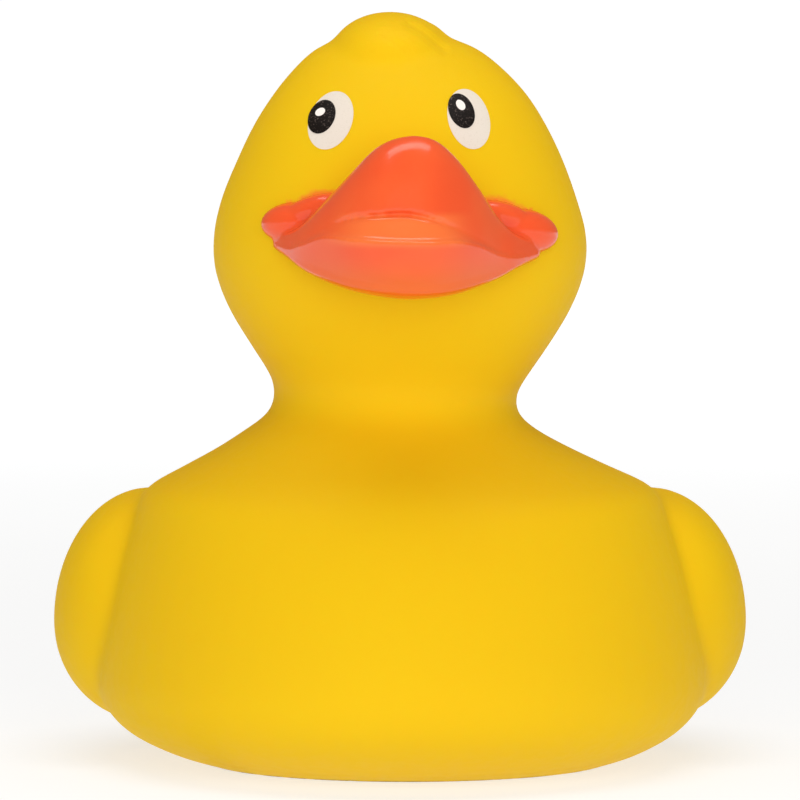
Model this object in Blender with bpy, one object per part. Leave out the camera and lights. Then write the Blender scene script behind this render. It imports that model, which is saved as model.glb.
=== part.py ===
"""Rubber duck: a hollow rotomoulded vinyl shell with a squeaker plugged into its base.

Metres, +Z up, and the duck faces -Y. The origin is on the plane it stands on, under the middle
of its box. The shell is lofted from a few sections, as a modeller would draw it: one loft from
the base through the neck to the crown, one for the tail, one for each wing and one for the bill.
A voxel remesh melts the body lofts into one skin with soft creases, and the bill is joined on.
"""
import math

import bmesh
import bpy
from mathutils import Matrix, Vector

# Driving dimensions.
HEIGHT = 0.084  # floor to the top of the crest
WALL = 2.2  # vinyl left on the mould's wall, in drawn millimetres
BASE_WALL = 3.2  # it pools a little thicker in the base
GAP = 0.3  # clearance between pieces that touch

# Every shape below is drawn in millimetres for a duck 84 mm high.
UNIT = HEIGHT / 84

# Level, half width, front, back and sideways lean of the loft from the base to the crown.
TRUNK = (
    (-1.2, 19.0, -18.6, 17.6, 0.9),
    (0.0, 22.6, -22.9, 21.0, 0.9),
    (1.2, 26.4, -27.0, 25.4, 0.7),
    (3.4, 30.5, -32.5, 30.3, 0.4),
    (6.0, 33.0, -36.4, 33.4, 0.3),
    (9.2, 34.1, -38.8, 35.2, 0.3),
    (13.0, 33.8, -39.9, 36.0, 0.3),
    (18.0, 32.8, -39.8, 35.6, 0.2),
    (23.0, 31.4, -38.4, 33.8, 0.2),
    (27.4, 29.8, -36.2, 31.0, 0.1),
    (30.6, 28.4, -33.8, 27.6, 0.0),
    (32.9, 24.2, -31.2, 23.6, -0.4),
    (35.1, 20.0, -27.8, 18.2, -0.7),
    (37.3, 16.4, -24.4, 12.6, -1.0),
    (39.3, 14.0, -21.8, 8.6, -0.8),
    (41.4, 13.45, -20.6, 6.8, -0.5),
    (43.6, 14.3, -21.0, 6.8, -0.1),
    (47.0, 16.5, -23.2, 8.2, 0.0),
    (51.2, 19.0, -26.0, 10.4, 0.0),
    (55.4, 20.5, -28.0, 12.0, 0.0),
    (59.2, 20.65, -28.8, 12.6, 0.0),
    (63.2, 19.7, -28.6, 12.0, -0.1),
    (67.4, 18.1, -27.4, 10.4, 0.0),
    (71.4, 16.2, -25.4, 8.2, 0.0),
    (75.0, 13.9, -22.6, 5.4, 0.0),
    (78.0, 11.2, -19.4, 2.4, -0.2),
    (80.1, 8.3, -16.0, -1.2, -0.4),
    (81.4, 4.8, -12.8, -4.6, -0.4),
)
# The tail's centre line along and level, then each section's half width and half thickness.
TAIL = (
    (8.0, 16.0, 22.0, 13.0),
    (18.0, 18.6, 20.0, 12.0),
    (26.0, 21.6, 16.8, 10.2),
    (32.4, 25.2, 12.6, 7.8),
    (37.0, 29.2, 8.6, 5.4),
    (39.9, 33.0, 5.2, 3.4),
    (41.2, 35.6, 2.6, 1.8),
)
# Wing pad, from its leading edge to its tip: along, level, height above and below, and reach.
WING = (
    (-11.5, 17.0, 3.0, 3.0, 30.6),
    (-9.0, 16.4, 8.2, 7.2, 34.4),
    (-5.0, 15.7, 12.9, 10.0, 37.2),
    (1.0, 15.3, 14.6, 11.3, 38.9),
    (8.0, 15.7, 14.2, 11.2, 38.5),
    (15.5, 17.0, 12.0, 10.2, 36.6),
    (22.5, 19.2, 9.6, 8.2, 33.0),
    (28.5, 21.8, 6.6, 5.8, 28.8),
    (33.0, 24.2, 3.2, 3.2, 24.6),
)
WING_ROOT = 18.0  # how far out the pad's hidden inner side lies

# Bill stations from the duck's right to its left: how far across, then along and level for the
# ridge of the upper bill, its lip, the rim of the lower bill and its keel.
BILL = (
    (-13.8, -23.6, 60.3, -24.2, 59.3, -24.4, 59.0, -24.2, 58.7),
    (-12.2, -27.4, 60.4, -28.2, 59.1, -28.6, 58.7, -28.0, 57.8),
    (-10.6, -30.0, 61.4, -31.6, 59.8, -32.2, 59.4, -31.0, 56.7),
    (-8.2, -32.3, 63.9, -35.0, 61.3, -36.2, 60.4, -33.6, 55.6),
    (-5.4, -34.2, 67.0, -38.0, 62.6, -39.6, 60.2, -35.8, 54.7),
    (-2.4, -35.4, 70.0, -40.0, 63.1, -41.7, 60.0, -37.0, 54.1),
    (0.6, -35.8, 71.15, -40.6, 63.3, -42.4, 59.9, -37.4, 53.8),
    (3.6, -35.6, 70.8, -39.9, 62.6, -41.7, 59.9, -37.0, 53.9),
    (6.2, -34.6, 68.6, -37.9, 61.4, -39.6, 60.0, -35.8, 54.3),
    (8.6, -32.8, 65.3, -35.2, 59.9, -36.2, 59.4, -33.8, 55.0),
    (10.8, -30.2, 61.9, -31.8, 58.7, -32.4, 58.3, -31.4, 55.8),
    (12.8, -27.6, 60.1, -28.8, 58.2, -29.2, 57.8, -28.6, 56.8),
    (15.2, -23.4, 59.4, -24.0, 58.0, -24.2, 57.9, -24.0, 57.7),
)
BILL_ROOT = -16.0  # where the bill's sections end, inside the head
MOUTH_DEPTH = 1.1  # how far the fold between the lips runs in
# Pads: centre, half sizes and turn about the vertical. A cheek lobe lies at each mouth corner.
LOBES = (
    ((-11.2, -24.2, 61.4), (4.1, 2.6, 2.1), math.radians(-36)),
    ((13.2, -22.8, 60.3), (4.5, 2.6, 2.3), math.radians(38)),
)
CREST = (
    ((-1.1, -9.6, 79.0), (6.7, 9.0, 5.0), 0.0),
    ((1.6, -8.4, 80.6), (3.7, 5.4, 2.4), 0.0),
)

AROUND = 40  # points around a body loft's section
ALONG = 3  # body loft sections to each drawn one
SKIN_VOXEL = 1.0
SKIN_SOFTENING = 5
SKIN_TRIANGLES = 4400
HOLLOW_VOXEL = 1.6
HOLLOW_TRIANGLES = 1500

# Squeaker and its seat, in the base.
SEAT_RADIUS = 8.2
SEAT_DEPTH = 1.4
HOLE_RADIUS = 5.6
FLANGE_THICKNESS = 0.8
BARREL_TOP = 13.0
BARREL_WALL = 1.0
AIR_HOLE_RADIUS = 1.0
BLOCK_BOTTOM = 2.6
BLOCK_TOP = 9.6
SLOT_HALF = 1.3
REED_HALF = 1.0
REED_THICKNESS = 0.3


def clear_scene():
    for obj in list(bpy.data.objects):
        bpy.data.objects.remove(obj)


def material(name, colour, roughness):
    made = bpy.data.materials.new(name)
    made.use_nodes = True
    shader = made.node_tree.nodes["Principled BSDF"]
    shader.inputs["Base Color"].default_value = (*colour, 1.0)
    shader.inputs["Roughness"].default_value = roughness
    return made


def smooth_rows(rows, steps):
    """Rows of numbers on a smooth curve through the given rows, with steps to each span."""
    found = []
    for i in range(len(rows) - 1):
        before, start = rows[max(i - 1, 0)], rows[i]
        end, after = rows[i + 1], rows[min(i + 2, len(rows) - 1)]
        for k in range(steps):
            t = k / steps
            found.append(tuple(
                0.5 * (2 * b + (c - a) * t + (2 * a - 5 * b + 4 * c - d) * t * t
                       + (3 * b - a - 3 * c + d) * t ** 3)
                for a, b, c, d in zip(before, start, end, after)))
    return found + [tuple(rows[-1])]


def add_object(name, bm):
    bmesh.ops.recalc_face_normals(bm, faces=bm.faces)
    mesh = bpy.data.meshes.new(name)
    bm.to_mesh(mesh)
    bm.free()
    obj = bpy.data.objects.new(name, mesh)
    bpy.context.scene.collection.objects.link(obj)
    return obj


def loft(name, sections):
    """A closed body through loops of points, in drawn millimetres, with its ends capped."""
    bm = bmesh.new()
    rings = [[bm.verts.new(Vector(point) * UNIT) for point in section] for section in sections]
    count = len(rings[0])
    for lower, upper in zip(rings, rings[1:]):
        for i in range(count):
            j = (i + 1) % count
            bm.faces.new((lower[i], lower[j], upper[j], upper[i]))
    bm.faces.new(rings[0][::-1])
    bm.faces.new(rings[-1])
    return add_object(name, bm)


def turned(name, profile, sides=40):
    """A closed body turned about the vertical from radius and level pairs, axis to axis."""
    bm = bmesh.new()
    rings = []
    for radius, level in profile:
        if radius == 0:
            rings.append([bm.verts.new(Vector((0, 0, level)) * UNIT)])
            continue
        rings.append([
            bm.verts.new(Vector((radius * math.cos(a), radius * math.sin(a), level)) * UNIT)
            for a in (2 * math.pi * k / sides for k in range(sides))])
    pairs = list(zip(rings, rings[1:]))
    if len(rings[0]) > 1:  # a profile that doesn't start on the axis is a ring's
        pairs.append((rings[-1], rings[0]))
    for lower, upper in pairs:
        for k in range(sides):
            face = [ring[j % len(ring)] for ring, j in
                    ((lower, k), (lower, k + 1), (upper, k + 1), (upper, k))]
            bm.faces.new(list(dict.fromkeys(face)))
    return add_object(name, bm)


def box(name, low, high):
    bm = bmesh.new()
    size = [b - a for a, b in zip(low, high)]
    middle = [(a + b) / 2 for a, b in zip(low, high)]
    place = Matrix.Translation(Vector(middle) * UNIT)
    scale = Matrix.Diagonal(Vector((*size, 1 / UNIT)) * UNIT)
    bmesh.ops.create_cube(bm, size=1.0, matrix=place @ scale)
    return add_object(name, bm)


def pad(name, centre, half, turn, subdivisions=3):
    bm = bmesh.new()
    place = Matrix.Translation(Vector(centre) * UNIT) @ Matrix.Rotation(turn, 4, "Z")
    size = Matrix.Diagonal(Vector((*half, 1 / UNIT)) * UNIT)
    bmesh.ops.create_icosphere(bm, subdivisions=subdivisions, radius=1.0, matrix=place @ size)
    return add_object(name, bm)


def applied(obj):
    """Applies the object's modifiers."""
    graph = bpy.context.evaluated_depsgraph_get()
    mesh = bpy.data.meshes.new_from_object(obj.evaluated_get(graph))
    obj.modifiers.clear()
    obj.data = mesh
    return obj


def boolean(obj, others, operation):
    """Joins the other objects to this one, or cuts them from it."""
    for other in others:
        modifier = obj.modifiers.new(operation.title(), "BOOLEAN")
        modifier.operation = operation
        modifier.solver = "EXACT"
        modifier.object = other
    applied(obj)
    for other in others:
        bpy.data.objects.remove(other)
    return obj


def melted(name, parts, voxel, softening, triangles):
    """Overlapping closed bodies made one skin, with softened folds and fewer triangles."""
    bm = bmesh.new()
    for part in parts:
        bm.from_mesh(part.data)
        bpy.data.objects.remove(part)
    obj = add_object(name, bm)
    remesh = obj.modifiers.new("Remesh", "REMESH")
    remesh.mode = "VOXEL"
    remesh.voxel_size = voxel * UNIT
    smooth = obj.modifiers.new("Smooth", "SMOOTH")
    smooth.factor = 0.5
    smooth.iterations = softening
    applied(obj)
    have = sum(len(face.vertices) - 2 for face in obj.data.polygons)
    fewer = obj.modifiers.new("Decimate", "DECIMATE")
    fewer.ratio = min(1.0, triangles / have)
    return applied(obj)


def egg(level, half_width, front, back, lean, inset):
    """A level section: two half ellipses that meet at the widest line."""
    widest = front * 0.52 + back * 0.48
    points = []
    for i in range(AROUND):
        angle = 2 * math.pi * i / AROUND
        across, along = math.sin(angle), -math.cos(angle)
        depth = (widest - front) if along < 0 else (back - widest)
        points.append((lean + (half_width - inset) * across,
                       widest + (depth - inset) * along, level))
    return points


def trunk(inset=0.0):
    rows = [row for row in TRUNK if row[1] > 3 * inset]
    if inset:
        rows[-1] = (rows[-1][0] - 0.4 * inset, *rows[-1][1:])
    return loft("trunk", [egg(*row, inset) for row in smooth_rows(rows, ALONG)])


def tail(inset=0.0):
    sections = []
    rows = smooth_rows([row for row in TAIL if row[3] > 2 * inset], ALONG)
    for i, (along, level, half_width, half_thick) in enumerate(rows):
        before, after = rows[max(i - 1, 0)], rows[min(i + 1, len(rows) - 1)]
        slope = math.atan2(after[1] - before[1], after[0] - before[0])
        up = Vector((0, -math.sin(slope), math.cos(slope)))
        sections.append([
            Vector(((half_width - inset) * math.cos(a), along, level))
            + up * ((half_thick - inset) * math.sin(a))
            for a in (2 * math.pi * k / AROUND for k in range(AROUND))])
    return loft("tail", sections)


def wing(side, inset=0.0):
    sections = []
    rows = [row for row in WING if min(row[2:4]) > 2 * inset]
    for along, level, above, below, reach in smooth_rows(rows, ALONG):
        middle = (WING_ROOT + reach) / 2
        half = (reach - WING_ROOT) / 2
        points = []
        for k in range(AROUND):
            a = 2 * math.pi * k / AROUND
            tall = above if math.sin(a) > 0 else below
            points.append((side * (middle + (half - inset) * math.cos(a)), along,
                           level + (tall - inset) * math.sin(a)))
        sections.append(points)
    return loft("wing", sections)


def bill_section(across, ridge_y, ridge_z, lip_y, lip_z, rim_y, rim_z, keel_y, keel_z):
    """The outline of both bills at one station, from above the root round to under it."""
    front, drop = ridge_y - lip_y, ridge_z - lip_z
    edge = min(0.35, 0.2 * drop)
    fold = min(MOUTH_DEPTH, 0.35 * (BILL_ROOT - lip_y) * 0.2)
    outline = (
        (BILL_ROOT, ridge_z - 0.6),
        (0.5 * (BILL_ROOT + ridge_y), ridge_z - 0.5),
        (ridge_y + 2.0, ridge_z - 0.1),
        (ridge_y + 0.4, ridge_z),
        (ridge_y - 0.25 * front, ridge_z - 0.10 * drop),
        (ridge_y - 0.50 * front, ridge_z - 0.26 * drop),
        (ridge_y - 0.75 * front, ridge_z - 0.50 * drop),
        (ridge_y - 0.94 * front, ridge_z - 0.78 * drop),
        (lip_y, lip_z + edge),
        (lip_y + 0.5 * edge, lip_z),
        (lip_y + fold, lip_z - 0.05),
        (0.5 * (lip_y + rim_y) + 0.3 * fold, 0.55 * lip_z + 0.45 * rim_z),
        (rim_y + 0.3, rim_z + 0.25 * (lip_z - rim_z)),
        (rim_y, rim_z),
        (rim_y + 0.16 * (keel_y - rim_y), rim_z + 0.35 * (keel_z - rim_z)),
        (rim_y + 0.55 * (keel_y - rim_y), rim_z + 0.76 * (keel_z - rim_z)),
        (keel_y, keel_z),
        (0.5 * (keel_y + BILL_ROOT), keel_z - 0.5),
        (BILL_ROOT, keel_z - 0.4),
    )
    return [(across, y, z) for y, z in outline]


def bill():
    body = loft("bill", [bill_section(*row) for row in smooth_rows(BILL, 2)])
    lobes = [pad("lobe", *lobe, subdivisions=2) for lobe in LOBES]
    return boolean(body, lobes, "UNION")


def shell():
    skin = melted("duck_shell",
                  [trunk(), tail(), wing(1), wing(-1)] + [pad("crest", *one) for one in CREST],
                  SKIN_VOXEL, SKIN_SOFTENING, SKIN_TRIANGLES)
    hollow = melted("hollow", [trunk(WALL), tail(WALL), wing(1, WALL), wing(-1, WALL)],
                    HOLLOW_VOXEL, 4, HOLLOW_TRIANGLES)
    boolean(hollow, [box("below", (-60, -60, -20), (60, 60, BASE_WALL))], "DIFFERENCE")
    boolean(skin, [bill()], "UNION")
    boolean(skin, [
        box("floor", (-60, -60, -20), (60, 60, 0)),
        hollow,
        turned("seat", ((0, -3), (SEAT_RADIUS, -3), (SEAT_RADIUS, SEAT_DEPTH),
                        (HOLE_RADIUS, SEAT_DEPTH), (HOLE_RADIUS, BASE_WALL + 2),
                        (0, BASE_WALL + 2))),
    ], "DIFFERENCE")
    return skin


def squeaker_housing():
    """A flanged cup with a snap ring that catches inside the base and an air hole on top."""
    outer = HOLE_RADIUS - GAP
    inner = outer - BARREL_WALL
    flange_bottom = SEAT_DEPTH - GAP - FLANGE_THICKNESS
    snap = BASE_WALL + GAP
    return turned("squeaker_housing", (
        (inner, flange_bottom),
        (SEAT_RADIUS - GAP, flange_bottom),
        (SEAT_RADIUS - GAP, SEAT_DEPTH - GAP),
        (outer, SEAT_DEPTH - GAP),
        (outer, snap),
        (outer + 0.9, snap + 0.2),
        (outer + 0.8, snap + 0.8),
        (outer, snap + 2.6),
        (outer, BARREL_TOP - 0.8),
        (outer - 0.8, BARREL_TOP),
        (AIR_HOLE_RADIUS, BARREL_TOP),
        (AIR_HOLE_RADIUS, BARREL_TOP - BARREL_WALL),
        (inner, BARREL_TOP - BARREL_WALL),
    ))


def squeaker_reed_block():
    """A plug with a slot down its flat side, which the reed covers."""
    radius = HOLE_RADIUS - 2 * GAP - BARREL_WALL
    block = turned("squeaker_reed_block",
                   ((0, BLOCK_BOTTOM), (radius, BLOCK_BOTTOM), (radius, BLOCK_TOP),
                    (0, BLOCK_TOP)), sides=32)
    flat = box("flat", (-9, -9, BLOCK_BOTTOM + 1.2), (9, -1.2, BLOCK_TOP + 9))
    slot = box("slot", (-SLOT_HALF, -9, BLOCK_BOTTOM - 1), (SLOT_HALF, 0.2, BLOCK_TOP - 1.2))
    return boolean(block, [flat, slot], "DIFFERENCE")


def squeaker_reed():
    front = -1.2 - GAP - REED_THICKNESS
    return box("squeaker_reed", (-REED_HALF - 0.8, front, BLOCK_BOTTOM + 1.2 + GAP),
               (REED_HALF + 0.8, front + REED_THICKNESS, BLOCK_TOP - 0.2))


def finish(obj, made, smooth=True):
    obj.data.materials.clear()
    obj.data.materials.append(made)
    for face in obj.data.polygons:
        face.material_index = 0
    if smooth:
        obj.data.shade_smooth()
        obj.data.set_sharp_from_angle(angle=math.radians(40))


def main():
    clear_scene()
    finish(shell(), material("yellow_vinyl", (0.93, 0.60, 0.02), 0.5))
    finish(squeaker_housing(), material("white_plastic", (0.85, 0.84, 0.80), 0.45))
    finish(squeaker_reed_block(), material("block_plastic", (0.80, 0.79, 0.76), 0.5))
    finish(squeaker_reed(), material("reed_film", (0.90, 0.90, 0.88), 0.35), smooth=False)


main()
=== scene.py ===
"""Rubber duck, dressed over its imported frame.

The duck is one soft vinyl moulding. Its body is drawn as rings from the base to the crown, with
pads melted on for the tail, the wings and the tuft. The bill is sprayed in glossy orange, the
eyes are printed on, and the squeaker sits in a recess under the base.
"""
import logging
import math
from dataclasses import dataclass
from enum import Enum

import bmesh
import bpy
import numpy as np
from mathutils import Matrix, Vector
from mathutils.bvhtree import BVHTree

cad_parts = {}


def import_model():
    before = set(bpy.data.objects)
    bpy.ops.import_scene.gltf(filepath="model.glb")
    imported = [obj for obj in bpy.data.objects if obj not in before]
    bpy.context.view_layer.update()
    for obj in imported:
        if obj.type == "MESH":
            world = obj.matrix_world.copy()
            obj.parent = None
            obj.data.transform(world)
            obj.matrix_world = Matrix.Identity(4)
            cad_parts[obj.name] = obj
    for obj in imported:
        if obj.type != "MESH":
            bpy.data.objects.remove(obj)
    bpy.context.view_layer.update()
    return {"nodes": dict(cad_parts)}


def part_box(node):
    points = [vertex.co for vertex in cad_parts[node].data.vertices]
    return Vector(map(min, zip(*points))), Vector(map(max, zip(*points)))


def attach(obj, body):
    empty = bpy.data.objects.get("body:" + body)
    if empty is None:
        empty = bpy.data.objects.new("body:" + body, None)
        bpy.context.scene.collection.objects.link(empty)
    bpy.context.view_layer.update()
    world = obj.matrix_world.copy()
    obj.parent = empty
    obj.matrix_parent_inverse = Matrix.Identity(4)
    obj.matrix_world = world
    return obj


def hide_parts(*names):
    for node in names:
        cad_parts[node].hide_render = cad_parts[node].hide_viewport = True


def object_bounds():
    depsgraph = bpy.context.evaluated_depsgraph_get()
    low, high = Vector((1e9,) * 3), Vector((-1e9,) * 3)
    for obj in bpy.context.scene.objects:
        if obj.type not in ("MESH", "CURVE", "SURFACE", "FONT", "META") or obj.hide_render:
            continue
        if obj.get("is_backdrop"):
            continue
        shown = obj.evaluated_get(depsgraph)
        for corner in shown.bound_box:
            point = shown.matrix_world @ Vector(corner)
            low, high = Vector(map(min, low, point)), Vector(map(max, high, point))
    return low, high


LOG = logging.getLogger("duck")
DRAWN_HEIGHT = 83.89  # every shape is drawn in millimetres for a duck this high
ROUND_SIDES = 96  # flats round a turned tool
SHARP = math.radians(50)  # edges sharper than this stay crisp
Row = tuple[float, ...]


class Level(Enum):
    """Where a printed layer lies over the vinyl, in drawn millimetres."""

    WHITE = 0.02
    PUPIL = 0.07
    GLINT = 0.12


# ---------------------------------------------------------------- modelling helpers


def deselect_all() -> None:
    """Leaves nothing selected and no object active."""
    if bpy.context.mode != "OBJECT":
        bpy.ops.object.mode_set(mode="OBJECT")
    bpy.ops.object.select_all(action="DESELECT")
    bpy.context.view_layer.objects.active = None


def make_active(obj: bpy.types.Object) -> None:
    """Selects one object alone and makes it active.

    Args:
        obj: the object.
    """
    deselect_all()
    obj.select_set(True)
    bpy.context.view_layer.objects.active = obj


def apply_place(obj: bpy.types.Object) -> None:
    """Moves an object's place into its mesh."""
    make_active(obj)
    bpy.ops.object.transform_apply(location=True, rotation=True, scale=True)


def add_modifier(obj: bpy.types.Object, kind: str, **settings: object) -> None:
    """Adds a modifier with these settings and applies it.

    Args:
        obj: the object to change.
        kind: Blender's name for the modifier.
        **settings: the modifier's own settings.
    """
    make_active(obj)
    modifier = obj.modifiers.new(kind.title(), kind)
    for name, value in settings.items():
        setattr(modifier, name, value)
    bpy.ops.object.modifier_apply(modifier=modifier.name)


def join(objects: list[bpy.types.Object], name: str) -> bpy.types.Object:
    """Joins several objects into the first one.

    Args:
        objects: the objects to join.
        name: the joined object's name.

    Returns:
        The joined object.
    """
    deselect_all()
    for obj in objects:
        obj.select_set(True)
    bpy.context.view_layer.objects.active = objects[0]
    if len(objects) > 1:
        bpy.ops.object.join()
    objects[0].name = objects[0].data.name = name
    return objects[0]


def cut(obj: bpy.types.Object, tool: bpy.types.Object) -> None:
    """Cuts one closed body from another and throws the tool away."""
    add_modifier(obj, "BOOLEAN", operation="DIFFERENCE", solver="EXACT", object=tool)
    bpy.data.objects.remove(tool)


def smooth_rows(rows: tuple[Row, ...], steps: int, closed: bool = False) -> list[Row]:
    """Rows of numbers on a smooth curve through the given rows.

    Args:
        rows: the drawn rows.
        steps: how many rows each span becomes.
        closed: whether the last row leads back to the first.

    Returns:
        The drawn rows and the ones between them.
    """
    count = len(rows)
    found: list[Row] = []
    for i in range(count if closed else count - 1):
        picked = [i - 1, i, i + 1, i + 2]
        picked = [k % count if closed else min(max(k, 0), count - 1) for k in picked]
        a, b, c, d = (np.array(rows[k], float) for k in picked)
        for k in range(steps):
            t = k / steps
            found.append(tuple(0.5 * (2 * b + (c - a) * t + (2 * a - 5 * b + 4 * c - d) * t * t
                                      + (3 * b - a - 3 * c + d) * t ** 3)))
    if not closed:
        found.append(tuple(rows[-1]))
    return found


class RingBall:
    """A ball whose rings are taken one at a time and scaled, turned and moved in edit mode."""

    def __init__(self, name: str, rings: int, around: int, along_y: bool = False) -> None:
        """Adds the ball and opens it in edit mode.

        Args:
            name: the object's name.
            rings: how many rings lie between its poles.
            around: points in each ring.
            along_y: whether its poles lie along Y in place of Z.
        """
        deselect_all()
        turn = (math.pi / 2, 0.0, 0.0) if along_y else (0.0, 0.0, 0.0)
        bpy.ops.mesh.primitive_uv_sphere_add(segments=around, ring_count=rings + 1, radius=1.0)
        self.obj = bpy.context.active_object
        self.obj.name = name
        self.obj.rotation_euler = turn
        apply_place(self.obj)
        axis = 1 if along_y else 2
        points = np.array([v.co for v in self.obj.data.vertices])
        order = np.argsort(points[:, axis], kind="stable")
        self.poles = (int(order[0]), int(order[-1]))
        self.rings = [order[1 + k * around:1 + (k + 1) * around].tolist() for k in range(rings)]
        self.heights = [float(points[ring[0], axis]) for ring in self.rings]
        self.radii = [math.sqrt(max(1 - h * h, 1e-9)) for h in self.heights]
        self.axis = axis
        bpy.ops.object.mode_set(mode="EDIT")
        bpy.ops.mesh.select_mode(type="VERT")

    def pick(self, chosen: list[int]) -> None:
        """Selects these points alone.

        Args:
            chosen: the points' numbers.
        """
        bpy.ops.mesh.select_all(action="DESELECT")
        mesh = bmesh.from_edit_mesh(self.obj.data)
        mesh.verts.ensure_lookup_table()
        for index in chosen:
            mesh.verts[index].select = True
        mesh.select_flush_mode()
        bmesh.update_edit_mesh(self.obj.data, loop_triangles=False, destructive=False)

    def front_of(self, ring: list[int], along: float) -> list[int]:
        """The points of a ring that lie in front of a line across it.

        Args:
            ring: the ring's points.
            along: where the line lies along Y.

        Returns:
            The points in front.
        """
        mesh = bmesh.from_edit_mesh(self.obj.data)
        mesh.verts.ensure_lookup_table()
        return [i for i in ring if mesh.verts[i].co.y < along - 1e-7]

    def above(self, ring: list[int], level: float) -> list[int]:
        """The points of a ring that lie above a level.

        Args:
            ring: the ring's points.
            level: the level.

        Returns:
            The points above.
        """
        mesh = bmesh.from_edit_mesh(self.obj.data)
        mesh.verts.ensure_lookup_table()
        return [i for i in ring if mesh.verts[i].co.z > level + 1e-7]

    def place(self, number: int, centre: Vector, half_a: float, half_b: float,
              slope: float = 0.0) -> list[int]:
        """Scales a ring to its half sizes, moves it to its centre and tips it.

        Args:
            number: which ring.
            centre: where its centre goes.
            half_a: half size across.
            half_b: half size the other way.
            slope: the turn about X, in radians.

        Returns:
            The ring's points.
        """
        ring = self.rings[number]
        self.pick(ring)
        radius = self.radii[number]
        here = Vector((0, 0, 0))
        here[self.axis] = self.heights[number]
        size = (half_a / radius, 1.0, half_b / radius)
        if self.axis == 2:
            size = (half_a / radius, half_b / radius, 1.0)
        bpy.ops.transform.resize(value=size, center_override=here)
        bpy.ops.transform.translate(value=centre - here)
        if slope:
            bpy.ops.transform.rotate(value=-slope, orient_axis="X", center_override=centre)
        return ring

    def close(self, first: Vector, last: Vector) -> bpy.types.Object:
        """Moves the poles to the two ends and leaves edit mode.

        Args:
            first: where the first pole goes.
            last: where the last pole goes.

        Returns:
            The finished object.
        """
        for pole, point, side in ((self.poles[0], first, -1.0), (self.poles[1], last, 1.0)):
            self.pick([pole])
            here = Vector((0, 0, 0))
            here[self.axis] = side
            bpy.ops.transform.translate(value=point - here)
        bpy.ops.mesh.select_all(action="SELECT")
        bpy.ops.mesh.normals_make_consistent(inside=False)
        bpy.ops.object.mode_set(mode="OBJECT")
        return self.obj


def pad(name: str, centre: Vector, half: Vector, turns: Row) -> bpy.types.Object:
    """A rounded pad, turned about the three axes.

    Args:
        name: the object's name.
        centre: its centre.
        half: its half sizes.
        turns: the turns about X, Y and Z, in degrees.

    Returns:
        The pad.
    """
    deselect_all()
    bpy.ops.mesh.primitive_ico_sphere_add(subdivisions=5, radius=1.0, location=centre,
                                          rotation=tuple(map(math.radians, turns)),
                                          scale=half)
    obj = bpy.context.active_object
    obj.name = name
    apply_place(obj)
    return obj


def cylinder(name: str, radius: float, low: float, high: float) -> bpy.types.Object:
    """An upright round tool from one level to another.

    Args:
        name: the object's name.
        radius: its radius.
        low: the level of its foot.
        high: the level of its top.

    Returns:
        The tool.
    """
    deselect_all()
    bpy.ops.mesh.primitive_cylinder_add(vertices=ROUND_SIDES, radius=radius, depth=high - low,
                                        location=(0, 0, (low + high) / 2))
    obj = bpy.context.active_object
    obj.name = name
    apply_place(obj)
    return obj


# ---------------------------------------------------------------- materials


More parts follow.
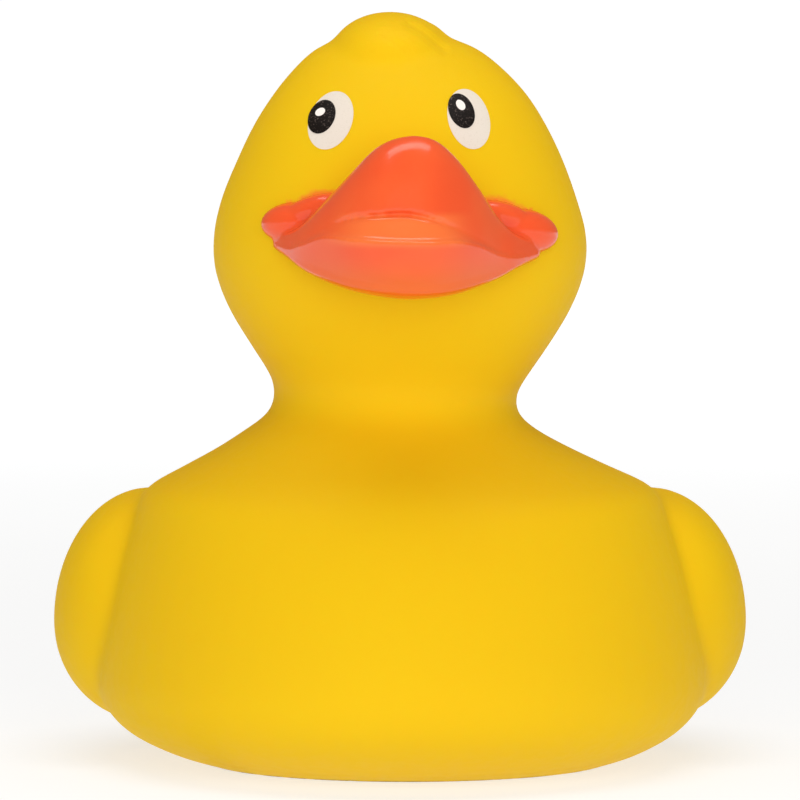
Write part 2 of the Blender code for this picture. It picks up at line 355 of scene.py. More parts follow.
class Nodes:
    """A new material and short ways to add nodes to it."""

    def __init__(self, name: str) -> None:
        """Makes the material with its Principled shader.

        Args:
            name: the material's name.
        """
        self.material = bpy.data.materials.new(name)
        self.material.use_nodes = True
        self.tree = self.material.node_tree
        self.shader = self.tree.nodes["Principled BSDF"]

    def add(self, kind: str, inputs: dict[str | int, object] | None = None,
            **settings: object) -> bpy.types.Node:
        """Adds a node.

        Args:
            kind: the node's type without its ShaderNode prefix.
            inputs: values or sockets for its inputs.
            **settings: the node's own settings.

        Returns:
            The node.
        """
        node = self.tree.nodes.new("ShaderNode" + kind)
        for name, value in settings.items():
            setattr(node, name, value)
        for name, value in (inputs or {}).items():
            self.feed(node.inputs[name], value)
        return node

    def feed(self, socket: bpy.types.NodeSocket, value: object) -> None:
        """Links a socket to an input, or sets its value.

        Args:
            socket: the input.
            value: a socket to link, or a plain value.
        """
        if isinstance(value, bpy.types.NodeSocket):
            self.tree.links.new(value, socket)
        else:
            socket.default_value = value

    def noise(self, scale: float, detail: float = 2.0, rough: float = 0.5) -> bpy.types.NodeSocket:
        """Noise over the object, with this many waves to the metre."""
        place = self.add("TexCoord").outputs["Object"]
        return self.add("TexNoise", {"Vector": place, "Scale": scale, "Detail": detail,
                                     "Roughness": rough}).outputs["Fac"]

    def ramp(self, value: bpy.types.NodeSocket, low: float, high: float,
             to_low: float = 0.0, to_high: float = 1.0) -> bpy.types.NodeSocket:
        """A value carried smoothly from one range to another."""
        return self.add("MapRange", {"Value": value, "From Min": low, "From Max": high,
                                     "To Min": to_low, "To Max": to_high},
                        interpolation_type="SMOOTHSTEP").outputs["Result"]

    def set(self, **values: object) -> None:
        """Sets plain values on the shader, an underscore standing for each space in a name."""
        for name, value in values.items():
            self.shader.inputs[name.replace("_", " ")].default_value = value

    def mix(self, amount: object, first: object, second: object) -> bpy.types.NodeSocket:
        """Two colours mixed.

        Args:
            amount: how much of the second colour shows.
            first: a colour or a socket.
            second: a colour or a socket.

        Returns:
            The mixed colour's socket.
        """
        node = self.add("Mix", data_type="RGBA")
        self.feed(node.inputs["Factor"], amount)
        self.feed(node.inputs[6], first)
        self.feed(node.inputs[7], second)
        return node.outputs[2]

    def maths(self, operation: str, first: object, second: object) -> bpy.types.NodeSocket:
        """Two numbers combined."""
        return self.add("Math", {0: first, 1: second}, operation=operation).outputs[0]

    def bump(self, height: bpy.types.NodeSocket, strength: float, distance: float) -> None:
        """Raises the surface by a height, after any bump it has.

        Args:
            height: the height's socket.
            strength: how much of it shows.
            distance: how far the full height rises, in metres.
        """
        inputs: dict[str | int, object] = {"Height": height, "Strength": strength,
                                           "Distance": distance}
        normal = self.shader.inputs["Normal"]
        if normal.is_linked:
            inputs["Normal"] = normal.links[0].from_socket
        self.tree.links.new(self.add("Bump", inputs).outputs["Normal"], normal)


@dataclass(frozen=True)
class SatinVinyl:
    """The body's soft yellow vinyl, with a faint orange mist where the bill was sprayed."""

    yellow: Row = (0.83, 0.530, 0.008, 1.0)
    deep: Row = (0.83, 0.520, 0.008, 1.0)
    mist: Row = (0.93, 0.22, 0.035, 1.0)
    speck: Row = (0.35, 0.17, 0.01, 1.0)
    speck_edge: Row = (0.028, 0.045)
    speck_rarity: float = 0.9
    speck_strength: float = 0.35
    roughness: Row = (0.52, 0.62)

    def make(self) -> bpy.types.Material:
        """Builds the material.

        Returns:
            The material.
        """
        n = Nodes("satin_vinyl")
        tone = n.mix(n.ramp(n.noise(38.0, 1.0), 0.35, 0.65), self.yellow, self.deep)
        place = n.add("TexCoord").outputs["Object"]
        cells = n.add("TexVoronoi", {"Vector": place, "Scale": 190.0}, feature="F1")
        dot = n.ramp(cells.outputs["Distance"], *self.speck_edge, 1.0, 0.0)
        chance = n.add("SeparateColor", {"Color": cells.outputs["Color"]}).outputs[0]
        dot = n.maths("MULTIPLY", dot, n.maths("GREATER_THAN", chance, self.speck_rarity))
        tone = n.mix(n.maths("MULTIPLY", dot, self.speck_strength), tone, self.speck)
        spray = n.add("Attribute", attribute_name="spray").outputs["Fac"]
        n.feed(n.shader.inputs["Base Color"], n.mix(spray, tone, self.mist))
        n.feed(n.shader.inputs["Roughness"],
               n.ramp(n.noise(900.0, 3.0), 0.3, 0.7, *self.roughness))
        n.set(Subsurface_Weight=0.15, Subsurface_Radius=(1.0, 0.35, 0.05),
              Subsurface_Scale=0.004, Specular_IOR_Level=0.05)
        n.bump(n.noise(2600.0, 3.0), 0.12, 0.00006)
        n.bump(n.noise(160.0, 1.0), 0.10, 0.0003)
        return n.material


@dataclass(frozen=True)
class GlossPaint:
    """The bill's sprayed orange, thick and glossy, with painted light on the lower lip's shelf and
    painted yellow bounce light low on the lower bill.
    """

    orange: Row = (0.87, 0.094, 0.025, 1.0)
    warm: Row = (0.88, 0.115, 0.030, 1.0)
    # Painted bounce light: a yellower orange low on the lower bill, for light thrown up from the
    # yellow chest.
    painted_chest_bounce: Row = (0.80, 0.135, 0.012, 1.0)
    # Painted light: a lighter orange where the top light falls on the lower lip's shelf.
    painted_shelf_light: Row = (0.93, 0.185, 0.045, 1.0)
    roughness: Row = (0.16, 0.24)
    # Where painted light brightens the lower lip's up-facing shelf, where the top light falls:
    # forward, up from its foot and down from its top.
    shelf_front: Row = (-0.0352, -0.0405)
    shelf_foot: Row = (0.0592, 0.0602)
    shelf_top: Row = (0.0634, 0.0624)
    # Levels over which the painted bounce light grows toward the keel.
    chest_bounce_levels: Row = (0.0590, 0.0545)

    def make(self) -> bpy.types.Material:
        """Builds the material.

        Returns:
            The material.
        """
        n = Nodes("gloss_orange")
        tone = n.mix(n.ramp(n.noise(90.0, 2.0), 0.35, 0.65), self.orange, self.warm)
        place = n.add("SeparateXYZ", {0: n.add("TexCoord").outputs["Object"]})
        along, level = place.outputs["Y"], place.outputs["Z"]
        # Painted light on the up-facing shelf of the lower lip, between the mouth line and the
        # rim.
        shelf_light_mask = n.maths("MULTIPLY", n.ramp(along, *self.shelf_front),
                        n.ramp(level, *self.shelf_foot))
        shelf_light_mask = n.maths("MULTIPLY", shelf_light_mask, n.ramp(level, *self.shelf_top))
        tone = n.mix(shelf_light_mask, tone, self.painted_shelf_light)
        # Painted bounce light: yellower toward the bottom of the lower bill.
        tone = n.mix(n.ramp(level, *self.chest_bounce_levels), tone, self.painted_chest_bounce)
        n.feed(n.shader.inputs["Base Color"], tone)
        n.feed(n.shader.inputs["Roughness"],
               n.ramp(n.noise(500.0, 2.0), 0.3, 0.7, *self.roughness))
        n.set(Subsurface_Weight=0.1, Subsurface_Radius=(1.0, 0.3, 0.1), Subsurface_Scale=0.002,
              Specular_IOR_Level=0.3, Coat_Weight=0.2, Coat_Roughness=0.06)
        n.bump(n.noise(420.0, 1.0), 0.08, 0.0002)
        n.bump(n.noise(2200.0, 2.0), 0.10, 0.00005)
        return n.material


@dataclass(frozen=True)
class PrintInk:
    """A printed layer: one ink, slightly grainy."""

    name: str
    ink: Row
    grain: Row
    amount: float
    roughness: float

    def make(self) -> bpy.types.Material:
        """Builds the material.

        Returns:
            The material.
        """
        n = Nodes(self.name)
        spots = n.ramp(n.noise(4200.0, 2.0, 0.7), 0.57, 0.68, 0.0, self.amount)
        n.feed(n.shader.inputs["Base Color"], n.mix(spots, self.ink, self.grain))
        n.set(Roughness=self.roughness, Specular_IOR_Level=0.15)
        n.bump(n.noise(3000.0, 2.0), 0.1, 0.00004)
        return n.material


@dataclass(frozen=True)
class MouldedPlastic:
    """Plain moulded plastic with a fine spark-eroded grain."""

    name: str
    colour: Row
    roughness: float
    spread: float = 0.06
    shade: float = 0.88

    def make(self) -> bpy.types.Material:
        """Builds the material.

        Returns:
            The material.
        """
        n = Nodes(self.name)
        darker = (*(self.shade * c for c in self.colour[:3]), 1.0)
        n.feed(n.shader.inputs["Base Color"],
               n.mix(n.ramp(n.noise(220.0, 3.0), 0.4, 0.7), self.colour, darker))
        n.feed(n.shader.inputs["Roughness"],
               n.ramp(n.noise(1800.0, 2.0), 0.3, 0.7, self.roughness - self.spread,
                      self.roughness + self.spread))
        n.bump(n.noise(4200.0, 2.0), 0.15, 0.00005)
        return n.material


Finish = SatinVinyl | GlossPaint | PrintInk | MouldedPlastic
WHITE_INK = PrintInk("eye_white", (0.77, 0.71, 0.64, 1), (0.68, 0.62, 0.54, 1), 0.6, 0.45)
BLACK_INK = PrintInk("pupil_black", (0.004, 0.002, 0.002, 1), (0.17, 0.13, 0.12, 1), 0.6, 0.45)
GLINT_INK = PrintInk("glint_white", (0.92, 0.88, 0.86, 1), (0.8, 0.75, 0.72, 1), 0.3, 0.4)
SQUEAKER = {
    "squeaker_housing": MouldedPlastic("housing", (0.85, 0.84, 0.80, 1), 0.45),
    "squeaker_reed_block": MouldedPlastic("block", (0.80, 0.79, 0.76, 1), 0.5),
    "squeaker_reed": MouldedPlastic("reed", (0.90, 0.90, 0.88, 1), 0.3),
}


# ---------------------------------------------------------------- the duck


@dataclass
class Bill:
    """Both bills as one loft of outlines, with a lobe at each corner of the mouth."""

    unit: float
    # Stations from the duck's right to its left: how far across, then along and level for the
    # ridge of the upper bill, its lip, the rim of the lower bill and its keel.
    stations: tuple[Row, ...] = (
        (-13.8, -23.6, 60.3, -24.2, 59.3, -24.4, 59.0, -24.2, 58.7),
        (-12.2, -27.4, 60.4, -28.2, 59.1, -28.6, 58.7, -28.0, 57.8),
        (-10.6, -30.0, 61.4, -31.6, 59.8, -32.2, 59.4, -31.0, 56.7),
        (-8.2, -32.3, 63.9, -35.0, 61.3, -36.2, 60.4, -33.6, 55.6),
        (-5.4, -34.2, 67.0, -38.0, 62.6, -39.6, 60.2, -35.8, 54.7),
        (-2.4, -35.4, 70.0, -40.0, 63.1, -41.7, 60.0, -37.0, 54.1),
        (0.6, -35.8, 71.15, -40.6, 63.3, -42.4, 59.9, -37.4, 53.8),
        (3.6, -35.6, 70.8, -39.9, 62.6, -41.7, 59.9, -37.0, 53.9),
        (6.2, -34.6, 68.6, -37.9, 61.4, -39.6, 60.0, -35.8, 54.3),
        (8.6, -32.8, 65.3, -35.2, 59.9, -36.2, 59.4, -33.8, 55.0),
        (10.8, -30.2, 61.9, -31.8, 58.7, -32.4, 58.3, -31.4, 55.8),
        (12.8, -27.6, 60.1, -28.8, 58.2, -29.2, 57.8, -28.6, 56.8),
        (15.2, -23.4, 59.4, -24.0, 58.0, -24.2, 57.9, -24.0, 57.7),
    )
    # Pads at the corners of the mouth: centre, half sizes and turns in degrees.
    lobes: tuple[tuple[Row, Row, Row], ...] = (
        ((-11.6, -24.2, 61.4), (4.0, 2.6, 2.2), (0.0, -6.0, -36.0)),
        ((-9.6, -26.0, 62.7), (4.2, 1.9, 1.6), (0.0, -18.0, -31.0)),
        ((13.5, -22.9, 60.4), (4.4, 2.6, 2.4), (0.0, 10.0, 38.0)),
        ((11.3, -24.9, 62.0), (4.2, 1.9, 1.6), (0.0, 16.0, 34.0)),
    )
    root: float = -16.0
    mouth_depth: float = 1.3
    lip_edge: float = 0.2
    station_steps: int = 7
    outline_steps: int = 3
    voxel: float = 0.2
    softening: int = 9

    def outline(self, row: Row) -> list[Vector]:
        """The outline of both bills at one station, from above the root round to under it.

        Args:
            row: the station.

        Returns:
            The outline's points.
        """
        across, ridge_y, ridge_z, lip_y, lip_z, rim_y, rim_z, keel_y, keel_z = row
        front, drop = ridge_y - lip_y, ridge_z - lip_z
        edge = min(self.lip_edge, 0.2 * drop)
        gap = lip_z - rim_z
        fold = min(self.mouth_depth, 0.08 * (self.root - lip_y))
        drawn = (
            (self.root, ridge_z - 0.6),
            (0.6 * ridge_y + 0.4 * self.root, ridge_z - 0.15 * drop),
            (ridge_y + 2.4, ridge_z - 0.05 * drop),
            (ridge_y + 0.4, ridge_z),
            (ridge_y - 0.25 * front, ridge_z - 0.10 * drop),
            (ridge_y - 0.50 * front, ridge_z - 0.26 * drop),
            (ridge_y - 0.75 * front, ridge_z - 0.50 * drop),
            (ridge_y - 0.94 * front, ridge_z - 0.78 * drop),
            (lip_y, lip_z + edge),
            (lip_y + 0.5 * edge, lip_z),
            (lip_y + fold, lip_z - 0.08 * gap),
            (lip_y + 0.05 * fold, lip_z - 0.18 * gap),
            (0.7 * lip_y + 0.3 * rim_y, rim_z + 0.45 * gap),
            (0.45 * lip_y + 0.55 * rim_y, rim_z + 0.17 * gap),
            (0.15 * lip_y + 0.85 * rim_y, rim_z + 0.09 * gap),
            (rim_y, rim_z - 0.02 * gap),
            (rim_y + 0.16 * (keel_y - rim_y), rim_z + 0.35 * (keel_z - rim_z)),
            (rim_y + 0.55 * (keel_y - rim_y), rim_z + 0.76 * (keel_z - rim_z)),
            (keel_y, keel_z),
            (0.5 * (keel_y + self.root), keel_z - 0.5),
            (self.root, keel_z - 0.4),
        )
        points = smooth_rows(drawn, self.outline_steps)
        return [Vector((across, y, z)) * self.unit for y, z in points]

    def build(self) -> bpy.types.Object:
        """Lofts the bills, adds the lobes and melts them together.

        Returns:
            The bill.
        """
        outlines = [self.outline(row)
                    for row in smooth_rows(self.stations, self.station_steps)]
        deselect_all()
        count = len(outlines[0])
        bpy.ops.mesh.primitive_circle_add(vertices=count, radius=self.unit)
        loft = bpy.context.active_object
        for vertex, point in zip(loft.data.vertices, outlines[0]):
            vertex.co = point
        bpy.ops.object.mode_set(mode="EDIT")
        bpy.ops.mesh.select_all(action="SELECT")
        bpy.ops.mesh.edge_face_add()
        for points in outlines[1:]:
            bpy.ops.mesh.extrude_region_move()
            mesh = bmesh.from_edit_mesh(loft.data)
            ring = sorted((v for v in mesh.verts if v.select), key=lambda v: v.index)
            for vertex, point in zip(ring, points):
                vertex.co = point
            bmesh.update_edit_mesh(loft.data)
        bpy.ops.mesh.select_all(action="SELECT")
        bpy.ops.mesh.normals_make_consistent(inside=False)
        bpy.ops.object.mode_set(mode="OBJECT")
        pads = [pad("lobe", Vector(centre) * self.unit, Vector(half) * self.unit, turns)
                for centre, half, turns in self.lobes]
        bill = join([loft, *pads], "bill")
        add_modifier(bill, "REMESH", mode="VOXEL", voxel_size=self.voxel * self.unit)
        add_modifier(bill, "SMOOTH", factor=0.5, iterations=self.softening)
        make_active(bill)
        bpy.ops.object.shade_smooth()
        return bill


@dataclass
class Body:
    """The moulded body: rings from base to crown, with tail, wings and tuft melted on."""

    unit: float
    # Level, half width, front, back and sideways lean of each ring, from base to crown.
    trunk_rows: tuple[Row, ...] = (
        (-1.2, 19.0, -18.6, 17.6, 0.9),
        (0.0, 22.6, -22.9, 21.0, 0.9),
        (1.2, 26.4, -27.0, 25.4, 0.7),
        (3.4, 30.5, -32.5, 30.3, 0.4),
        (6.0, 33.0, -36.4, 33.4, 0.3),
        (9.2, 34.1, -38.8, 35.2, 0.3),
        (13.0, 33.8, -39.9, 36.0, 0.3),
        (18.0, 32.8, -39.8, 35.6, 0.2),
        (23.0, 31.4, -38.4, 33.8, 0.2),
        (27.4, 29.8, -36.2, 31.0, 0.1),
        (30.6, 28.4, -33.8, 27.6, 0.0),
        (32.9, 24.2, -31.2, 23.6, -0.4),
        (35.1, 20.0, -27.8, 18.2, -0.7),
        (37.3, 16.4, -24.4, 12.6, -1.0),
        (39.3, 14.0, -21.8, 8.6, -0.8),
        (41.4, 13.45, -20.6, 6.8, -0.5),
        (43.6, 14.3, -21.0, 6.8, -0.1),
        (47.0, 16.5, -23.2, 8.2, 0.0),
        (51.2, 19.0, -26.0, 10.4, 0.0),
        (55.4, 20.5, -28.0, 12.0, 0.0),
        (59.2, 20.65, -28.8, 12.6, 0.0),
        (63.2, 19.7, -28.6, 12.0, -0.1),
        (67.4, 18.1, -27.4, 10.4, 0.0),
        (71.4, 16.2, -25.4, 8.2, 0.0),
        (75.0, 13.9, -22.6, 5.4, 0.0),
        (78.0, 11.2, -19.4, 2.4, -0.2),
        (80.1, 8.5, -16.0, -1.2, -0.4),
        (81.4, 4.8, -12.8, -4.6, -0.4),
    )
    # The tail's centre line along and level, with each ring's half width and half thickness.
    tail_rows: tuple[Row, ...] = (
        (8.0, 16.0, 22.0, 13.0),
        (18.0, 18.6, 20.0, 12.0),
        (26.0, 21.6, 16.8, 10.2),
        (32.4, 25.2, 12.6, 7.8),
        (37.0, 29.2, 8.6, 5.4),
        (39.9, 33.0, 5.2, 3.4),
        (41.2, 35.6, 2.6, 1.8),
    )
    # A wing from its leading edge to its tip: along, level, height above and below, reach.
    wing_rows: tuple[Row, ...] = (
        (-11.5, 17.0, 3.0, 3.0, 30.6),
        (-9.0, 16.4, 8.2, 7.2, 34.4),
        (-5.0, 15.7, 12.9, 10.0, 37.2),
        (1.0, 15.3, 14.6, 11.3, 38.9),
        (8.0, 15.7, 14.2, 11.2, 38.5),
        (15.5, 17.0, 12.0, 10.2, 36.6),
        (22.5, 19.2, 9.6, 8.2, 33.0),
        (28.5, 21.8, 6.6, 5.8, 28.8),
        (32.2, 23.8, 3.5, 3.5, 25.0),
        (34.0, 24.9, 2.3, 2.3, 22.9),
        (34.9, 25.4, 0.9, 0.9, 20.4),
    )
    wing_root: float = 18.0
    # Pads on the crown: centre, half sizes and turns in degrees.
    tuft: tuple[tuple[Row, Row, Row], ...] = (
        ((-1.1, -9.6, 79.0), (6.7, 9.0, 5.0), (0.0, 0.0, 0.0)),
        ((1.6, -8.4, 80.6), (3.7, 5.4, 2.4), (0.0, 0.0, 0.0)),
    )
    # Shallow creases swept over the tuft: across and level along each, then how deep.
    creases: tuple[tuple[tuple[Row, ...], float], ...] = (
        (((0.9, 82.7), (2.2, 82.0), (3.5, 81.0), (4.8, 79.9)), 0.2),
        (((-1.75, 81.7), (-0.4, 80.7), (0.7, 79.9)), 0.1),
    )
    crease_width: float = 0.65
    crease_bands: Row = (1.0, 0.8, 0.6, 0.4, 0.25)
    crease_floor: float = 77.0
    crease_back: float = -4.0
    seat_radius: float = 8.2
    seat_depth: float = 1.4
    hole_radius: float = 5.6
    chamber_radius: float = 7.6
    chamber: tuple[float, float] = (3.2, 14.6)
    tool_foot: float = -3.0
    # Where the mist reaches: across and half width of the corners, the levels and the front.
    mist_across: float = 10.2
    mist_half: float = 3.4
    mist_middle: float = 1.0
    mist_levels: Row = (60.5, 75.0)
    mist_back: float = -15.0
    mist_reach: float = 0.6
    belly_share: float = 0.52
    trunk_steps: int = 3
    limb_steps: int = 4
    around: int = 64
    voxel: float = 0.55
    softening: int = 16

    def trunk(self) -> bpy.types.Object:
        """Rings from the base through the neck to the crown.

        Returns:
            The trunk.
        """
        rows = smooth_rows(self.trunk_rows, self.trunk_steps)
        ball = RingBall("trunk", len(rows), self.around)
        for number, (level, half_width, front, back, lean) in enumerate(rows):
            widest = front * self.belly_share + back * (1 - self.belly_share)
            centre = Vector((lean, widest, level)) * self.unit
            ring = ball.place(number, centre, half_width * self.unit,
                              (back - widest) * self.unit)
            ball.pick(ball.front_of(ring, centre.y))
            bpy.ops.transform.resize(value=(1, (widest - front) / (back - widest), 1),
                                     center_override=centre)
        first, last = rows[0], rows[-1]
        return ball.close(Vector((first[4], 0, first[0])) * self.unit,
                          Vector((last[4], (last[2] + last[3]) / 2, last[0] + 0.3)) * self.unit)

    def tail(self) -> bpy.types.Object:
        """Rings along the tail's rising centre line.

        Returns:
            The tail.
        """
        rows = smooth_rows(self.tail_rows, self.limb_steps)
        ball = RingBall("tail", len(rows), self.around, along_y=True)
        for number, (along, level, half_width, half_thick) in enumerate(rows):
            before, after = rows[max(number - 1, 0)], rows[min(number + 1, len(rows) - 1)]
            slope = math.atan2(after[1] - before[1], after[0] - before[0])
            ball.place(number, Vector((0, along, level)) * self.unit,
                       half_width * self.unit, half_thick * self.unit, slope)
        return ball.close(Vector((0, rows[0][0], rows[0][1])) * self.unit,
                          Vector((0, rows[-1][0] + 0.5, rows[-1][1] + 0.8)) * self.unit)

    def wing(self, side: int) -> bpy.types.Object:
        """Rings along one wing, taller above its middle line than below it.

        Args:
            side: 1 for the duck's left, -1 for its right.

        Returns:
            The wing.
        """
        rows = smooth_rows(self.wing_rows, self.limb_steps)
        ball = RingBall("wing", len(rows), self.around, along_y=True)
        for number, (along, level, above, below, reach) in enumerate(rows):
            centre = Vector((side * (self.wing_root + reach) / 2, along, level)) * self.unit
            ring = ball.place(number, centre, (reach - self.wing_root) / 2 * self.unit,
                              below * self.unit)
            ball.pick(ball.above(ring, centre.z))
            bpy.ops.transform.resize(value=(1, 1, above / below), center_override=centre)
        ends = [Vector((side * (self.wing_root + row[4]) / 2, row[0], row[1])) * self.unit
                for row in (rows[0], rows[-1])]
        return ball.close(*ends)

    def build(self) -> bpy.types.Object:
        """Melts the shapes into one skin, flattens its base and cuts the squeaker's seat.

        Returns:
            The body.
        """
        parts = [self.trunk(), self.tail(), self.wing(1), self.wing(-1)]
        parts += [pad("tuft", Vector(centre) * self.unit, Vector(half) * self.unit, turns)
                  for centre, half, turns in self.tuft]
        body = join(parts, "vinyl_body")
        add_modifier(body, "REMESH", mode="VOXEL", voxel_size=self.voxel * self.unit)
        add_modifier(body, "SMOOTH", factor=0.5, iterations=self.softening)
        for path, depth in self.creases:
            self.crease(body, path, depth)
        make_active(body)
        bpy.ops.object.mode_set(mode="EDIT")
        bpy.ops.mesh.select_all(action="SELECT")
        bpy.ops.mesh.bisect(plane_co=(0, 0, 0), plane_no=(0, 0, 1), use_fill=True,
                            clear_inner=True)
        bpy.ops.object.mode_set(mode="OBJECT")
        for radius, low, high in (
                (self.seat_radius, self.tool_foot, self.seat_depth),
                (self.hole_radius, self.tool_foot, self.chamber[0] + 2),
                (self.chamber_radius, *self.chamber)):
            cut(body, cylinder("tool", radius * self.unit, low * self.unit, high * self.unit))
        make_active(body)
        bpy.ops.object.shade_smooth_by_angle(angle=SHARP)
        return body

    def crease(self, body: bpy.types.Object, path: tuple[Row, ...], depth: float) -> None:
        """Presses one crease into the tuft, in bands that deepen toward its line.

        Args:
            body: the body.
            path: across and level of points along the crease.
            depth: how deep its line lies.
        """
        line = [Vector(row[:2]) for row in smooth_rows(path, 6)]

        def near(width: float) -> None:
            """Selects the crown's points that lie this near the crease.

            Args:
                width: how near.
            """
            bpy.ops.mesh.select_all(action="DESELECT")
            mesh = bmesh.from_edit_mesh(body.data)
            for vertex in mesh.verts:
                x, y, z = vertex.co / self.unit
                if z > self.crease_floor and y < self.crease_back:
                    reach = min((Vector((x, z)) - point).length for point in line)
                    vertex.select = reach < width
            mesh.select_flush_mode()
            bmesh.update_edit_mesh(body.data)

        make_active(body)
        bpy.ops.object.mode_set(mode="EDIT")
        bpy.ops.mesh.select_mode(type="VERT")
        near(self.crease_width * 2.2)
        bpy.ops.mesh.subdivide(number_cuts=2)
        for band in self.crease_bands:
            near(self.crease_width * band)
            bpy.ops.transform.shrink_fatten(value=-depth / len(self.crease_bands) * self.unit)
        near(self.crease_width * 1.8)
        bpy.ops.mesh.vertices_smooth(factor=0.5, repeat=2)
        bpy.ops.object.mode_set(mode="OBJECT")

    def spray(self, body: bpy.types.Object, bill: bpy.types.Object) -> None:
        """Stores how much orange mist reached each point of the body.

        Args:
            body: the body.
            bill: the bill that was sprayed.
        """
        tree = BVHTree.FromObject(bill, bpy.context.evaluated_depsgraph_get())
        store = body.data.attributes.new("spray", "FLOAT", "POINT")
        amounts = np.zeros(len(body.data.vertices))
        for vertex in body.data.vertices:
            x, y, z = vertex.co / self.unit
            if not self.mist_levels[0] < z <= self.mist_levels[1] or y > self.mist_back:
                continue
            out = abs(abs(x - self.mist_middle) - self.mist_across) / self.mist_half
            if out < 1:
                distance = tree.find_nearest(vertex.co)[3] / self.unit
                reach = self.mist_reach * (1 - out)
                amounts[vertex.index] = min(max(1.15 - distance / reach, 0.0), 1.0)
        store.data.foreach_set("value", amounts)


@dataclass
class Eyes:
    """Printed eyes: a white, a pupil and a glint on each side, laid on the head."""

    unit: float
    # Across, level, half width, half height and lean of each white, pupil and glint.
    whites: tuple[Row, ...] = ((-7.55, 72.4, 2.29, 3.24, 25.0), (7.48, 72.54, 2.22, 3.28, -18.0))
    pupils: tuple[Row, ...] = ((-8.51, 72.75, 1.36, 1.91, 30.0), (6.67, 73.4, 1.32, 1.94, -26.0))
    glints: tuple[Row, ...] = ((-8.65, 73.23, 0.37, 0.58, 60.0), (6.57, 74.0, 0.41, 0.62, -40.0))
    thickness: float = 0.04
    start: float = -45.0
    insets: int = 7

    def layer(self, name: str, ovals: tuple[Row, ...], level: Level,
              head: bpy.types.Object) -> bpy.types.Object:
        """Prints one layer of both eyes.

        Args:
            name: the piece's name.
            ovals: across, level, half width, half height and lean of each oval.
            level: how high it lies over the vinyl.
            head: what it is printed on.

        Returns:
            The printed layer.
        """
        made = []
        for across, up, half_width, half_height, lean in ovals:
            centre = Vector((across, self.start, up)) * self.unit
            deselect_all()
            bpy.ops.mesh.primitive_circle_add(vertices=64, radius=1.0, fill_type="NGON",
                                              rotation=(math.pi / 2, 0, 0))
            oval = bpy.context.active_object
            apply_place(oval)
            bpy.ops.object.mode_set(mode="EDIT")
            bpy.ops.mesh.select_all(action="SELECT")
            for _ in range(self.insets):
                bpy.ops.mesh.inset(thickness=1 / (self.insets + 1), depth=0.0)
            bpy.ops.mesh.poke()
            bpy.ops.mesh.select_all(action="SELECT")
            bpy.ops.transform.resize(
                value=(half_width * self.unit, 1, half_height * self.unit),
                center_override=(0, 0, 0))
            bpy.ops.transform.rotate(value=-math.radians(lean), orient_axis="Y",
                                     center_override=(0, 0, 0))
            bpy.ops.transform.translate(value=centre)
            bpy.ops.object.mode_set(mode="OBJECT")
            made.append(oval)
        sheet = join(made, name)
        add_modifier(sheet, "SHRINKWRAP", wrap_method="PROJECT", use_project_y=True,
                     use_positive_direction=True, use_negative_direction=False,
                     target=head, offset=level.value * self.unit,
                     wrap_mode="ABOVE_SURFACE")
        add_modifier(sheet, "SOLIDIFY", thickness=self.thickness * self.unit, offset=0.0)
        make_active(sheet)
        bpy.ops.object.mode_set(mode="EDIT")
        bpy.ops.mesh.select_all(action="SELECT")
        bpy.ops.mesh.normals_make_consistent(inside=False)
        bpy.ops.object.mode_set(mode="OBJECT")
        bpy.ops.object.shade_smooth_by_angle(angle=SHARP)
        return sheet


@dataclass(frozen=True)
class Lamp:
    """One soft light: where it hangs, its size, its power in watts, and whether gloss shows it."""

    name: str
    place: Row
    size: tuple[float, float]
    power: float
    mirrored: bool = True

    def hang(self, target: Vector) -> None:
        """Hangs the light so that it faces a point.

        Args:
            target: the point.
        """
        light = bpy.data.lights.new(self.name, "AREA")
        light.shape = "RECTANGLE"
        light.size, light.size_y = self.size
        light.energy = self.power
        lamp = bpy.data.objects.new(self.name, light)
        bpy.context.scene.collection.objects.link(lamp)
        lamp.location = self.place
        lamp.visible_glossy = self.mirrored
        lamp.rotation_euler = (Vector(self.place) - target).to_track_quat("Z", "Y").to_euler()


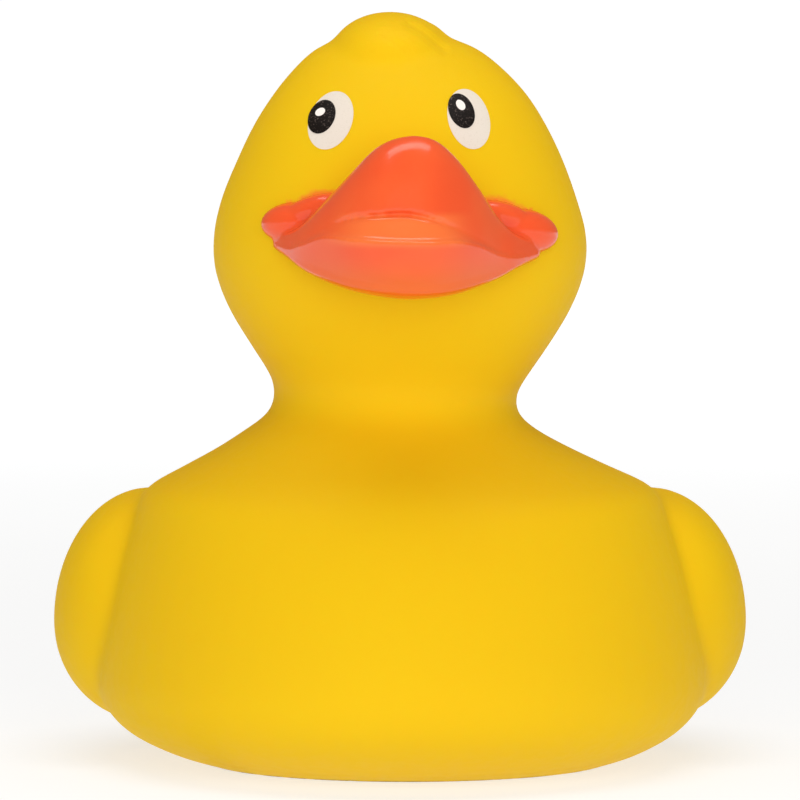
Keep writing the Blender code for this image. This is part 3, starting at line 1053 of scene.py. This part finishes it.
@dataclass
class Studio:
    """A white floor, soft lights and the camera."""

    height: float
    # The camera: how far off, how many degrees up, and in duck heights its aim and its view.
    distance: float = 0.9
    elevation: float = 4.0
    target: float = 0.4804
    frame: float = 1.0681
    sensor: float = 36.0
    floor_size: float = 60.0
    floor_drop: float = 0.00005
    floor_tones: tuple[Row, Row] = ((0.44, 0.44, 0.44, 1), (0.47, 0.47, 0.47, 1))
    floor_glow: Row = (0.94, 0.98, 1.03, 1)
    # How far from the duck the glow grows, and how strong it is near and far.
    glow_reach: Row = (0.12, 0.8)
    glow_strength: Row = (0.63, 0.93)
    world_light: Row = (0.31, 0.25, 0.17, 1)
    backdrop: Row = (1.05, 1.05, 1.05, 1)
    lamps: tuple[Lamp, ...] = (
        Lamp("top_strip", (0.0, 0.02, 0.72), (0.8, 0.24), 2.3),
        Lamp("front_softbox", (0.06, -1.24, 0.44), (1.5, 1.1), 12.6, mirrored=False),
    )

    def floor(self) -> None:
        """Lays the floor."""
        deselect_all()
        bpy.ops.mesh.primitive_plane_add(size=self.floor_size,
                                         location=(0, 0, -self.floor_drop))
        floor = bpy.context.active_object
        floor.name = "studio_floor"
        n = Nodes("white_floor")
        n.feed(n.shader.inputs["Base Color"],
               n.mix(n.ramp(n.noise(3.0), 0.3, 0.7), *self.floor_tones))
        n.set(Roughness=0.9, Specular_IOR_Level=0.1, Emission_Color=self.floor_glow)
        away = n.add("VectorMath", {0: n.add("TexCoord").outputs["Object"]},
                     operation="LENGTH").outputs["Value"]
        n.feed(n.shader.inputs["Emission Strength"],
               n.ramp(away, *self.glow_reach, *self.glow_strength))
        floor.data.materials.append(n.material)
        floor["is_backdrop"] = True

    def light(self) -> None:
        """Sets the world and hangs the lights."""
        world = bpy.data.worlds.new("studio")
        bpy.context.scene.world = world
        world.use_nodes = True
        tree = world.node_tree
        back = tree.nodes["Background"]
        seen = tree.nodes.new("ShaderNodeLightPath").outputs["Is Camera Ray"]
        colour = tree.nodes.new("ShaderNodeMix")
        colour.data_type = "RGBA"
        colour.inputs[6].default_value = self.world_light
        colour.inputs[7].default_value = self.backdrop
        tree.links.new(seen, colour.inputs["Factor"])
        tree.links.new(colour.outputs[2], back.inputs["Color"])
        for lamp in self.lamps:
            lamp.hang(Vector((0, 0, self.height * 0.5)))

    def camera(self) -> None:
        """Sets up the camera."""
        data = bpy.data.cameras.new("camera")
        camera = bpy.data.objects.new("camera", data)
        bpy.context.scene.collection.objects.link(camera)
        turn = math.radians(self.elevation)
        back = Vector((0, -math.cos(turn), math.sin(turn)))
        camera.location = Vector((0, 0, self.target * self.height)) + back * self.distance
        camera.rotation_euler = back.to_track_quat("Z", "Y").to_euler()
        data.sensor_width = self.sensor
        data.lens = self.sensor * self.distance / (self.frame * self.height)
        data.clip_start = 0.01
        bpy.context.scene.camera = camera

    def build(self) -> None:
        """Builds the whole studio."""
        self.floor()
        self.light()
        self.camera()
        bpy.context.scene.view_settings.view_transform = "Standard"


def paint(obj: bpy.types.Object, finish: Finish) -> None:
    """Gives a piece its finish and reports it.

    Args:
        obj: the piece.
        finish: its finish.
    """
    obj.data.materials.clear()
    obj.data.materials.append(finish.make())
    LOG.info("%s: %d faces", obj.name, len(obj.data.polygons))


def dress(obj: bpy.types.Object, finish: Finish) -> None:
    """Gives a new piece its finish and its body.

    Args:
        obj: the piece.
        finish: its finish.
    """
    paint(obj, finish)
    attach(obj, "root")


def main() -> None:
    """Builds the duck over its frame."""
    logging.basicConfig(level=logging.INFO, format="%(name)s: %(message)s")
    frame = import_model()
    low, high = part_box("duck_shell")
    height = high[2] - low[2]
    unit = height / DRAWN_HEIGHT

    bill = Bill(unit).build()
    body_maker = Body(unit)
    body = body_maker.build()
    body_maker.spray(body, bill)
    dress(body, SatinVinyl())
    dress(bill, GlossPaint())
    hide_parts("duck_shell")

    eyes = Eyes(unit)
    dress(eyes.layer("eye_whites", eyes.whites, Level.WHITE, body), WHITE_INK)
    dress(eyes.layer("eye_pupils", eyes.pupils, Level.PUPIL, body), BLACK_INK)
    dress(eyes.layer("eye_glints", eyes.glints, Level.GLINT, body), GLINT_INK)

    for node, finish in SQUEAKER.items():
        paint(frame["nodes"][node], finish)

    Studio(height).build()
    low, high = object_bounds()


if __name__ == "__main__":
    main()
